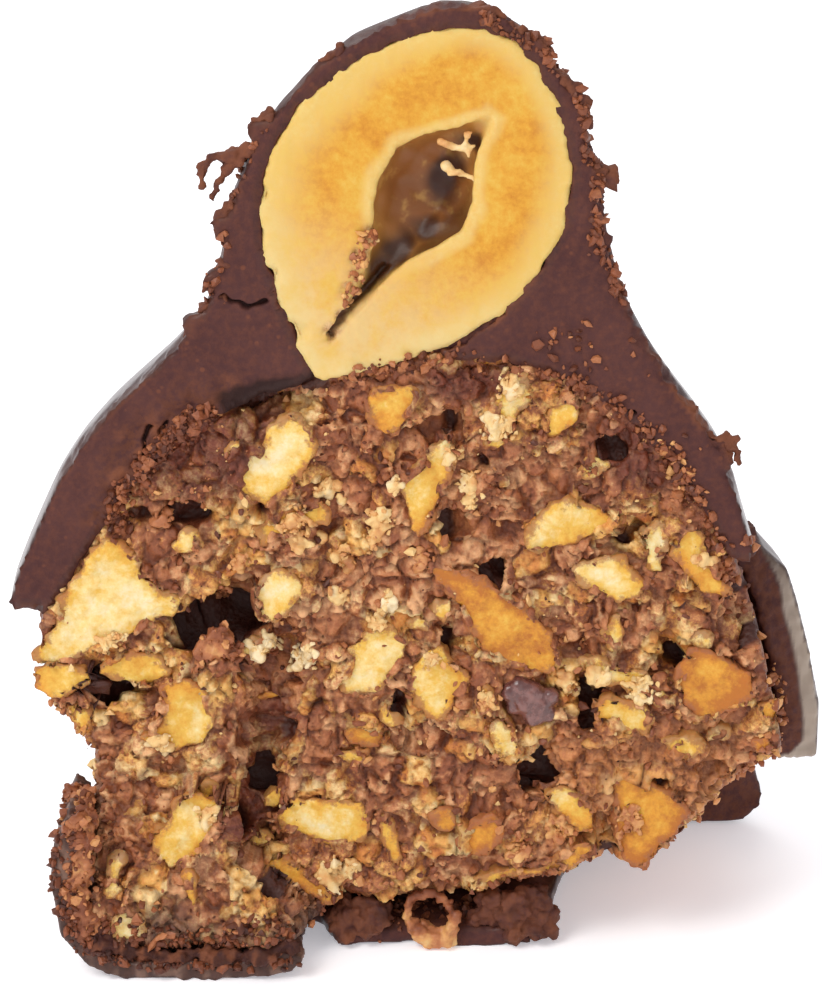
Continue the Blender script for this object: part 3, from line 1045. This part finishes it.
paste_rows = points(paste) / MM - np.array(FACE_CENTRE)
paste_facing = facings(paste)
on_front = (paste_facing[:, 1] < -0.15) & (paste_rows[:, 1] < FRONT_DEPTH)
on_open_side = (paste_facing[:, 0] < -0.3) & (open_side(paste_rows) > 0.5)
front_points = np.flatnonzero((on_front | on_open_side) & (hole < 0.4))
crumb_places = []
while len(crumb_places) < CRUMB_COUNT:
    spot = draw.choice(front_points)
    middle = Vector(paste_rows[spot])
    patch = noise.noise(middle * 0.45)
    if draw.random() > 0.55 + patch:
        continue
    size = CRUMB_SIZES[0] + (CRUMB_SIZES[1] - CRUMB_SIZES[0]) * draw.random() ** 2.4
    tone = draw.choice(CRUMB_TONES) + draw.uniform(-0.05, 0.05)
    crumb_places.append((middle + Vector(paste_facing[spot]) * size * 0.2, size, tone))
for course, spread, count, first_tone, last_tone in CRUMB_STRIPS:
    for number in range(count):
        share = draw.random() * (len(course) - 1)
        start = course[int(share)]
        end = course[int(share) + 1]
        px = start[0] + (end[0] - start[0]) * (share % 1.0) + draw.gauss(0.0, spread * 0.6)
        py = start[1] + (end[1] - start[1]) * (share % 1.0) + draw.gauss(0.0, spread * 0.6)
        hit, facing_there = seen(px, py)
        if hit is not None:
            size = 0.12 + 0.34 * draw.random() ** 2.0
            tone = draw.uniform(first_tone, last_tone)
            crumb_places.append((hit + facing_there * size * 0.15, size, tone))
crumbs = scattered("paste_crumbs", crumb_places, 5)

crumb_mix, shader, place = new_material("crumb_mix")
tone = place.layer("tone")
fine = place.spots(0.2, 3.0, 0.6)
value = tone + (fine - 0.5) * 0.25
dress(
    shader,
    base_color=value.add("ShaderNodeValToRGB", {"stops": (
        (0.05, (0.060, 0.018, 0.012)), (0.35, (0.24, 0.072, 0.030)), (0.58, (0.46, 0.175, 0.070)),
        (0.72, (0.66, 0.34, 0.12)), (0.85, (0.76, 0.52, 0.22)), (1.00, (0.84, 0.69, 0.43)))}, {"Fac": value}),
    roughness=0.55 - fine * 0.2,
    normal=place.bumps(fine, 0.4, 0.05),
    specular_ior_level=0.3,
)
serve(crumbs, crumb_mix, "filling")
bpy.ops.object.shade_flat()

# The knife dragged thin shavings of coating over the rim, and they stand off it like hooks. Each is a string
# of crumbs grown together, and rooted in the rim.
# Each shaving: its course in the photo, and its thickness at the start and at the end in millimetres
SHAVING_COURSES = (
    (((251, 150), (236, 155), (222, 157), (208, 158), (204, 166), (203, 178), (202, 190)), 0.30, 0.13),
    (((236, 160), (226, 170), (216, 184), (211, 202)), 0.28, 0.10),
    (((272, 113), (264, 119), (256, 124), (250, 133)), 0.30, 0.16),
    (((345, 50), (334, 55), (326, 60), (320, 64)), 0.22, 0.13),
    (((244, 190), (232, 200), (224, 214), (219, 226), (215, 236)), 0.30, 0.12),
    (((228, 262), (218, 270), (210, 280), (204, 293)), 0.32, 0.14),
    (((222, 300), (208, 308), (196, 318), (188, 328), (184, 340)), 0.30, 0.12),
    (((210, 318), (200, 330), (192, 344)), 0.22, 0.10),
    (((474, 14), (485, 9), (496, 11), (506, 20)), 0.24, 0.16),
    (((508, 30), (520, 34), (532, 36), (543, 42), (549, 56)), 0.30, 0.16),
    (((556, 78), (566, 82), (574, 90), (579, 104)), 0.28, 0.14),
    (((578, 112), (586, 118), (592, 128)), 0.28, 0.13),
    (((590, 166), (600, 171), (609, 176), (614, 184)), 0.24, 0.10),
    (((586, 196), (592, 210), (594, 224)), 0.24, 0.14),
    (((596, 238), (602, 250), (606, 262), (614, 272)), 0.24, 0.10),
    (((700, 432), (712, 436), (724, 441), (735, 450), (744, 466)), 0.28, 0.11),
    (((716, 438), (728, 436), (738, 440)), 0.20, 0.09),
)
SHAVING_LEVEL = 0.35    # how far behind the cut they lie, in millimetres
SHAVING_STEPS = 5       # balls from one point of a course to the next
THINNEST = 0.13
draw = random.Random(63)
ball_rows, ball_faces = ball_shape(2, 1.0)


def crumbly(name, balls, fineness, rough):
    """Balls of the given middles and radii grown into one crumbly piece."""
    all_rows = [ball_rows * radius + np.array(middle) for middle, radius in balls]
    all_faces = [ball_faces + len(ball_rows) * number for number in range(len(balls))]
    piece = from_parts(name, all_rows, all_faces)
    remeshed(piece, fineness, 1)
    rows = points(piece)
    shift = (0.42 - grains(rows, 0.38, 2.0)) * 0.5 + waves(rows, 0.22, 5.0) * 0.2 + waves(rows, 0.9, 8.0) * 0.3
    place_points(piece, rows + facings(piece) * (shift * rough)[:, None])
    return piece


def along_course(course, start, end, level):
    """Balls strung along a course of the photo, with a little disorder."""
    balls = []
    places = traced(course, level)
    for number in range(len(places) - 1):
        for step in range(SHAVING_STEPS):
            share = (number + step / SHAVING_STEPS) / (len(places) - 1)
            middle = places[number].lerp(places[number + 1], step / SHAVING_STEPS)
            away = Vector((draw.uniform(-1, 1), draw.uniform(-1, 1), draw.uniform(-1, 1))) * 0.09
            radius = (start + (end - start) * share) * draw.uniform(0.6, 1.15)
            balls.append((middle + away, max(radius, THINNEST)))
    return balls


def lumps(listed):
    """Balls from a list of middles in the photo, radii and levels, none of them below the table."""
    balls = []
    for px, py, radius, level in listed:
        middle = on_level(px, py, level)
        middle.z = max(middle.z, radius * 0.9)
        balls.append((middle, radius))
    return balls


def above_table(piece):
    """Flattens what a crumbly piece has below the table."""
    rows = points(piece)
    rows[:, 2] = np.maximum(rows[:, 2], 0.02)
    place_points(piece, rows)
    return rows


balls = []
for course, start, end in SHAVING_COURSES:
    balls += along_course(course, start, end, SHAVING_LEVEL)
shavings = crumbly("rim_shavings", balls, 0.1, 0.55)
paint_chocolate(shavings, cut=1.0, broken=1.0, shaved=0.55 + waves(points(shavings), 0.6, 1.0) * 0.9)
serve(shavings, chocolate, "coating")

# Coating closes the gap beside the lower right of the hazelnut in a smooth bead. Each ball of it: middle in
# the photo, radius in millimetres, and how far behind the cut it lies
NUT_SEAM = (
    (430, 350, 0.3, 0.45), (442, 346, 0.32, 0.45), (454, 342, 0.34, 0.45), (466, 338, 0.36, 0.45),
    (478, 332, 0.38, 0.45), (488, 326, 0.38, 0.45), (498, 317, 0.36, 0.45), (507, 307, 0.32, 0.45),
    (516, 296, 0.28, 0.45),
)

beside_nut = crumbly("rim_beside_nut", lumps(NUT_SEAM), 0.12, 0.10)
paint_chocolate(beside_nut, cut=1.0)
serve(beside_nut, chocolate, "coating")


# Crumbs of coating choke the seam under the lower left corner. At its left the paste breaks over the skin in a
# ragged edge, and a lump of paste juts into the largest hole. Finer crumbs cling to both.
# The courses of the seam and of the broken edge, and the balls of the lump, in the photo
CORNER_SEAM = (
    (90, 930), (104, 944), (124, 950), (150, 954), (176, 955), (204, 956), (232, 957), (260, 955), (286, 948),
)
CORNER_EDGE = (
    (88, 800), (86, 816), (84, 832), (83, 848), (82, 864), (82, 880), (83, 896), (84, 912), (88, 926),
)
HOLE_LUMP = (
    (208, 641, 0.36), (216, 633, 0.36), (224, 628, 0.28), (228, 639, 0.38), (219, 648, 0.46),
    (237, 650, 0.34), (203, 652, 0.36),
)
BELOW_HOLE = (219, 662)


def bridging(px, py, aside, up):
    """A place in a gap of the face, as far forward as what is seen on its two sides."""
    sides = [seen(px - aside, py - up)[0], seen(px + aside, py + up)[0]]
    place_there = on_level(px, py, min(side.y for side in sides if side is not None) + 0.15)
    place_there.z = max(place_there.z, 0.3)
    return place_there


balls = []
for px, py in CORNER_SEAM:
    for number in range(5):
        middle = bridging(px + draw.uniform(-13, 13), py + draw.uniform(-3, 3), 0, 14)
        balls.append((middle, draw.uniform(0.22, 0.36)))
seam = crumbly("corner_seam", balls, 0.12, 0.7)
rows = above_table(seam)
streaks = fade(waves(rows * UPRIGHT, 0.5, 3.0), 0.05, 0.30)
paint_chocolate(seam, cut=1.0, broken=1.0, shaved=streaks,
                cleft=(0.45 + waves(rows, 0.9, 4.0) * 0.4) * (1.0 - streaks * 0.8))
serve(seam, chocolate, "coating")


def gritty(piece, count, tone):
    """Places of crumbs that cling to the front of a piece."""
    rows = points(piece)
    facing = facings(piece)
    front = np.flatnonzero(facing[:, 1] < 0.1)
    places = []
    for number in range(count):
        spot = draw.choice(front)
        size = 0.12 + 0.28 * draw.random() ** 2.0
        middle = Vector(rows[spot] + facing[spot] * size * 0.15)
        places.append((middle, size, tone + draw.uniform(-0.22, 0.26)))
    return places


balls = []
for px, py in CORNER_EDGE:
    for number in range(6):
        radius = draw.uniform(0.24, 0.42)
        balls.append((bridging(px + draw.uniform(-16, 8), py + draw.uniform(-8, 8), 12, 0), radius))
corner_edge = crumbly("corner_edge", balls, 0.12, 0.8)
rows = points(corner_edge)
paint(corner_edge, tone=0.42 + 0.30 * waves(rows, 0.9, 3.0) + 0.10 * waves(rows, 0.3, 5.0))
sprinkled = gritty(corner_edge, 260, 0.40)
serve(corner_edge, crumb_mix, "filling")

level = seen(*BELOW_HOLE)[0].y + 0.1
hole_balls = lumps([(px, py, radius, level) for px, py, radius in HOLE_LUMP])
hole_lump = crumbly("hole_lump", hole_balls, 0.12, 0.8)
paint(hole_lump, tone=0.42 + 0.30 * waves(points(hole_lump), 0.8, 3.0))
sprinkled += gritty(hole_lump, 50, 0.46)
serve(hole_lump, crumb_mix, "filling")

# Lumps of coating and paste broke off at the foot and stick to the base. The one in the middle is a small
# shell of paste that is open to the front.
# Each lump at the foot: middle in the photo, radius in millimetres, and how far behind the cut it lies
FOOT_LUMPS = (
    (338, 922, 0.55, 0.5), (350, 910, 0.7, 0.7), (366, 924, 0.6, 0.4), (380, 914, 0.6, 0.6),
    (345, 934, 0.4, 0.2), (370, 900, 0.5, 0.9), (488, 900, 0.6, 0.7), (500, 915, 0.62, 0.6),
    (518, 905, 0.75, 0.6), (536, 898, 0.7, 0.8), (544, 915, 0.55, 0.7), (516, 930, 0.55, 0.3),
    (534, 928, 0.55, 0.4), (476, 918, 0.4, 0.7), (548, 930, 0.35, 0.5),
)
# The hollow lump in the middle of the foot: the same, round its opening
HOLLOW_LUMP = (
    (411, 902, 0.26, 0.3), (407, 913, 0.28, 0.2), (411, 925, 0.32, 0.2), (419, 935, 0.36, 0.1),
    (429, 942, 0.42, 0.1), (439, 947, 0.44, 0.1), (447, 940, 0.4, 0.1), (452, 929, 0.36, 0.1),
    (454, 916, 0.3, 0.2), (449, 905, 0.26, 0.2), (440, 897, 0.24, 0.3), (429, 893, 0.22, 0.3),
    (419, 896, 0.24, 0.3), (432, 932, 0.34, 0.4), (424, 926, 0.28, 0.5),
)

foot_lumps = crumbly("foot_lumps", lumps(FOOT_LUMPS), 0.12, 0.8)
rows = above_table(foot_lumps)
paint_chocolate(foot_lumps, cut=1.0, broken=1.0, shaved=0.5 + waves(rows, 0.8, 1.0) * 0.9,
                cleft=fade(waves(rows, 1.0, 9.0), 0.0, 0.5) * 0.45)
serve(foot_lumps, chocolate, "coating")

hollow_lump = crumbly("hollow_lump", lumps(HOLLOW_LUMP), 0.10, 0.55)
rows = above_table(hollow_lump)
paint(hollow_lump, tone=0.34 + 0.30 * (1.0 - fade(rows[:, 2], 0.6, 2.2)) + 0.30 * waves(rows, 0.6, 3.0))
serve(hollow_lump, crumb_mix, "filling")

# Crumbs of nut stuck together in heaps on the cut, grown into one another, and finer dust of nut lies round
# them.
# Each heap of stuck nut crumbs: middle and reach in the photo, how many, tone
NUT_HEAPS = (
    (327, 487, 13, 20, 0.86), (397, 486, 7, 12, 0.99), (380, 520, 13, 22, 0.88), (270, 643, 11, 14, 0.98),
    (303, 655, 14, 24, 1.0), (296, 528, 20, 26, 0.82), (372, 540, 10, 12, 0.8), (486, 700, 11, 16, 0.8),
    (568, 682, 10, 12, 0.82), (512, 388, 13, 18, 0.92), (498, 425, 16, 26, 0.94), (256, 652, 9, 12, 0.98),
    (338, 597, 9, 14, 0.86), (387, 603, 10, 16, 0.97), (378, 622, 9, 12, 0.94), (470, 478, 9, 14, 0.88),
    (470, 500, 9, 12, 0.9), (596, 678, 13, 18, 0.86), (640, 690, 18, 22, 0.92), (335, 871, 22, 22, 0.9),
    (350, 868, 10, 10, 0.95), (205, 815, 14, 10, 0.92), (113, 640, 16, 12, 0.86), (160, 742, 14, 14, 0.96),
    (432, 660, 10, 8, 0.86), (520, 850, 14, 14, 0.7), (560, 830, 14, 14, 0.72), (630, 820, 16, 16, 0.7),
    (700, 560, 8, 8, 0.8), (452, 455, 9, 10, 0.86), (425, 560, 12, 12, 0.62), (345, 560, 12, 14, 0.8),
    (160, 520, 10, 10, 0.62), (222, 590, 9, 8, 0.6), (240, 560, 12, 12, 0.72), (365, 905, 12, 10, 0.6),
)

balls = []
tones = []
for px, py, reach, count, tone in NUT_HEAPS:
    for number in range(count * 3):
        hit, facing_there = seen(draw.gauss(px, reach * 0.42), draw.gauss(py, reach * 0.42))
        if hit is None:
            continue
        if number < count * 1.4:
            radius = 0.10 + 0.14 * draw.random() ** 1.5
            balls.append((hit + facing_there * radius * 0.4, radius))
            tones.append(tone)
        else:
            size = draw.uniform(0.12, 0.30)
            middle = hit + facing_there * (0.05 + size * 0.4)
            sprinkled.append((middle, size, tone - 0.08 + draw.uniform(-0.10, 0.08)))
dust = scattered("nut_dust", sprinkled, 8)
serve(dust, crumb_mix, "filling")
bpy.ops.object.shade_flat()
heaps = crumbly("nut_heaps", balls, 0.1, 0.55)
rows = points(heaps)
finder = KDTree(len(balls))
for number, (middle, radius) in enumerate(balls):
    finder.insert(middle, number)
finder.balance()
nearest = np.array([tones[finder.find(row)[1]] for row in rows.tolist()])
paint(heaps, tone=nearest - 0.05 + 0.20 * waves(rows, 0.7, 3.0))
serve(heaps, crumb_mix, "filling")

# Pale fibres of nut hang in the upper corner of the hollow and beside the slit, made like the shavings.
NUT_FIBRES = (
    (((442, 140), (452, 146), (462, 150), (474, 148)), 0.16, 0.10),
    (((446, 168), (456, 172), (468, 176), (476, 180)), 0.18, 0.08),
    (((470, 132), (466, 144), (470, 156)), 0.12, 0.10),
    (((368, 236), (372, 241), (377, 240)), 0.20, 0.14),
    (((364, 250), (358, 264), (352, 278)), 0.14, 0.12),
)

balls = []
for course, start, end in NUT_FIBRES:
    balls += along_course(course, start, end, 0.25)
fibres = crumbly("nut_fibres", balls, 0.1, 0.22)
paint(fibres, tone=0.82 + 0.20 * waves(points(fibres), 0.5, 3.0))
serve(fibres, crumb_mix, "hazelnut")

# A lump of soft chocolate in the paste was smeared by the knife. It is smooth, purple-brown and glossy.
GLOSSY_LUMP = (
    (510, 692, 0.42, 0.0), (520, 686, 0.46, 0.0), (532, 692, 0.52, 0.0), (524, 702, 0.5, -0.05),
    (540, 704, 0.5, 0.0), (534, 716, 0.46, 0.0), (550, 696, 0.4, 0.05), (514, 706, 0.36, 0.05),
    (548, 714, 0.36, 0.05),
)

smear = crumbly("glossy_smear", lumps(GLOSSY_LUMP), 0.12, 0.12)
glossy_chocolate, shader, place = new_material("glossy_smear")
fine = place.spots(0.5, 4.0)
dress(
    shader,
    base_color=fine.between(0.35, 0.65).blend((0.090, 0.028, 0.024), (0.20, 0.075, 0.060)),
    roughness=0.20 + fine * 0.15,
    normal=place.bumps(fine, 0.5, 0.15),
    coat_weight=fine * 1.2,
    coat_roughness=0.08,
)
serve(smear, glossy_chocolate, "filling")
